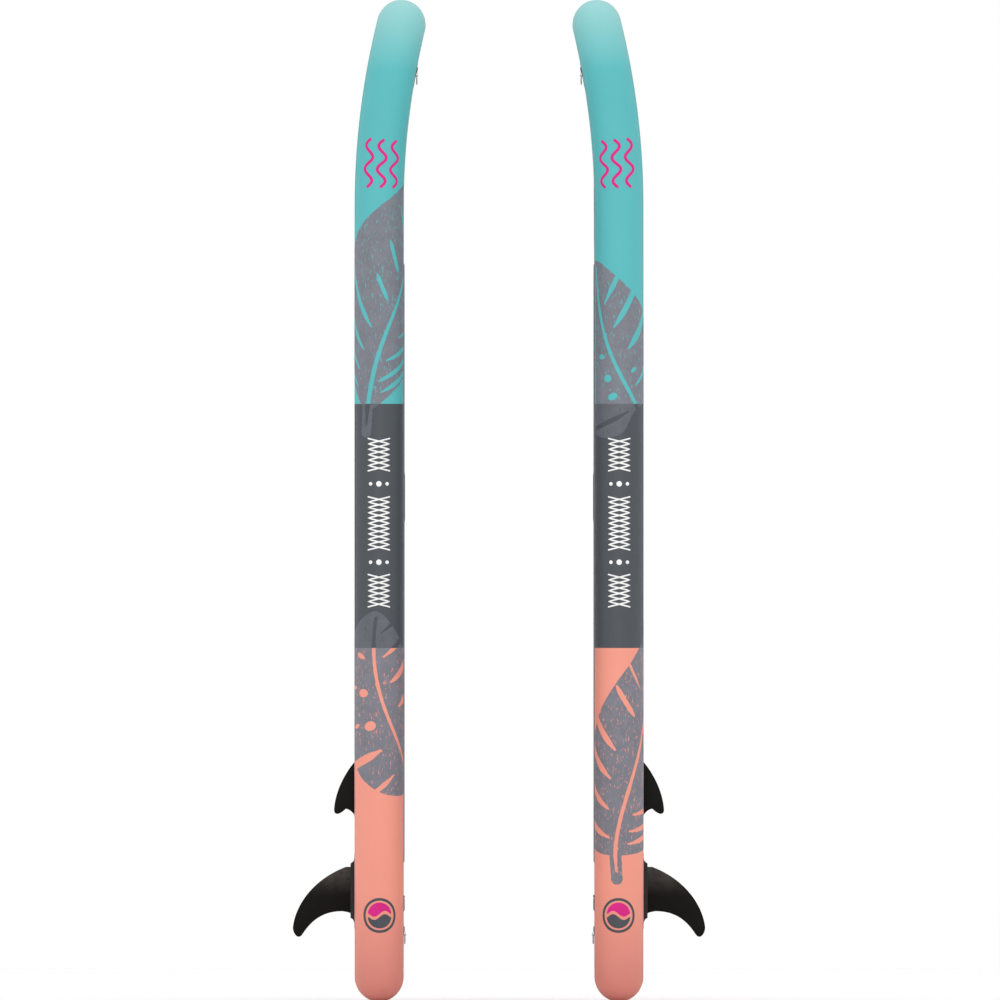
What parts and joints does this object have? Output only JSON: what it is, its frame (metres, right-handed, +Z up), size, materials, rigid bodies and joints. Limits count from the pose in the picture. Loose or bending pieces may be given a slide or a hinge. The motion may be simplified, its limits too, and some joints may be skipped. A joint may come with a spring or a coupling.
{
  "type": "pair of inflatable stand-up paddle boards",
  "caption": "Pair of inflatable paddle boards standing on their tails deck to deck, with rounded rails, raised noses, fins, valves, carry handles and ring fittings.",
  "frame": {"origin": "on the ground midway between the two boards, under the middle of the pair", "axes": "+Z up along the boards from tail to nose, +X from the left board to the right one, Y across the boards; the left board's deck faces +X and the right board's deck faces -X"},
  "size_m": [1.277, 0.812, 3.1005],
  "materials": {
    "deck_fabric": "printed PVC-coated fabric, satin, in three colour blocks",
    "bottom_fabric": "printed PVC-coated fabric, satin, in three colour blocks",
    "rail_fabric": "printed PVC-coated fabric, satin, in three colour blocks",
    "threads": "polyester thread bundles",
    "seam_tape": "PVC-coated tape",
    "foam_pad": "closed-cell EVA foam, brushed and grooved",
    "patch": "PVC patch",
    "webbing": "woven polyester webbing",
    "valve_plastic": "moulded plastic",
    "plunger_plastic": "moulded plastic",
    "seal_rubber": "soft rubber",
    "cap_plastic": "moulded plastic",
    "steel": "stainless steel",
    "brass": "plain brass",
    "box_plastic": "flexible moulded plastic",
    "fin_plastic": "satin black glass-filled plastic"
  },
  "bodies": {
    "left_board": {"left_deck_skin": "deck_fabric", "left_bottom_skin": "bottom_fabric", "left_port_rail": "rail_fabric", "left_starboard_rail": "rail_fabric", "left_drop_stitch": "threads", "left_deck_seam_tape": "seam_tape", "left_bottom_seam_tape": "seam_tape", "left_deck_pad": "foam_pad", "left_handle_patches": "patch", "left_carry_handle": "webbing", "left_valve_body": "valve_plastic", "left_valve_nut": "valve_plastic", "left_valve_spring": "steel", "left_leash_patch": "patch", "left_tow_patch": "patch", "left_fin_box": "box_plastic", "left_side_fin_bases": "box_plastic", "left_side_fins": "fin_plastic"},
    "left_valve_plunger": {"left_valve_plunger": "plunger_plastic", "left_valve_seal": "seal_rubber"},
    "left_valve_cap": {"left_valve_cap": "cap_plastic"},
    "left_leash_ring": {"left_leash_ring": "steel"},
    "left_tow_ring": {"left_tow_ring": "steel"},
    "left_centre_fin": {"left_centre_fin": "fin_plastic", "left_fin_nut": "brass"},
    "left_fin_screw": {"left_fin_screw": "steel"},
    "right_board": {"right_deck_skin": "deck_fabric", "right_bottom_skin": "bottom_fabric", "right_port_rail": "rail_fabric", "right_starboard_rail": "rail_fabric", "right_drop_stitch": "threads", "right_deck_seam_tape": "seam_tape", "right_bottom_seam_tape": "seam_tape", "right_deck_pad": "foam_pad", "right_handle_patches": "patch", "right_carry_handle": "webbing", "right_valve_body": "valve_plastic", "right_valve_nut": "valve_plastic", "right_valve_spring": "steel", "right_leash_patch": "patch", "right_tow_patch": "patch", "right_fin_box": "box_plastic", "right_side_fin_bases": "box_plastic", "right_side_fins": "fin_plastic"},
    "right_valve_plunger": {"right_valve_plunger": "plunger_plastic", "right_valve_seal": "seal_rubber"},
    "right_valve_cap": {"right_valve_cap": "cap_plastic"},
    "right_leash_ring": {"right_leash_ring": "steel"},
    "right_tow_ring": {"right_tow_ring": "steel"},
    "right_centre_fin": {"right_centre_fin": "fin_plastic", "right_fin_nut": "brass"},
    "right_fin_screw": {"right_fin_screw": "steel"}
  },
  "joints": [
    {"name": "left_valve_cap_hinge", "type": "hinge", "parent": "left_board", "child": "left_valve_cap", "pos_m": [-0.2936, -0.096, 0.326], "axis": [0, -1, 0], "range_deg": [0, 165]},
    {"name": "left_valve_press", "type": "slide", "parent": "left_board", "child": "left_valve_plunger", "axis": [-1, 0, 0], "range_m": [0, 0.005], "stiffness_N_per_m": 300, "springref_m": -0.01, "deforming": ["left_valve_spring"]},
    {"name": "left_leash_ring_swing", "type": "hinge", "parent": "left_board", "child": "left_leash_ring", "pos_m": [-0.29125, 0, 0.205], "axis": [0, -1, 0], "range_deg": [0, 165]},
    {"name": "left_tow_ring_swing", "type": "hinge", "parent": "left_board", "child": "left_tow_ring", "pos_m": [-0.25433, 0, 2.8657], "axis": [0, -1, 0], "range_deg": [-8, 150]},
    {"name": "left_fin_slide", "type": "slide", "parent": "left_board", "child": "left_centre_fin", "axis": [0, 0, 1], "range_m": [-0.025, 0.006]},
    {"name": "left_fin_screw_turn", "type": "hinge", "parent": "left_centre_fin", "child": "left_fin_screw", "pos_m": [-0.446, 0, 0.424], "axis": [-1, 0, 0], "continuous": true},
    {"name": "right_valve_cap_hinge", "type": "hinge", "parent": "right_board", "child": "right_valve_cap", "pos_m": [0.2936, 0.096, 0.326], "axis": [0, 1, 0], "range_deg": [0, 165]},
    {"name": "right_valve_press", "type": "slide", "parent": "right_board", "child": "right_valve_plunger", "axis": [1, 0, 0], "range_m": [0, 0.005], "stiffness_N_per_m": 300, "springref_m": -0.01, "deforming": ["right_valve_spring"]},
    {"name": "right_leash_ring_swing", "type": "hinge", "parent": "right_board", "child": "right_leash_ring", "pos_m": [0.29125, 0, 0.205], "axis": [0, 1, 0], "range_deg": [0, 165]},
    {"name": "right_tow_ring_swing", "type": "hinge", "parent": "right_board", "child": "right_tow_ring", "pos_m": [0.25433, 0, 2.8657], "axis": [0, 1, 0], "range_deg": [-8, 150]},
    {"name": "right_fin_slide", "type": "slide", "parent": "right_board", "child": "right_centre_fin", "axis": [0, 0, 1], "range_m": [-0.025, 0.006]},
    {"name": "right_fin_screw_turn", "type": "hinge", "parent": "right_centre_fin", "child": "right_fin_screw", "pos_m": [0.446, 0, 0.424], "axis": [1, 0, 0], "continuous": true},
    {"name": "right_board_lift", "type": "slide", "parent": "left_board", "child": "right_board", "axis": [0, 0, 1], "range_m": [0, 0.4]}
  ]
}
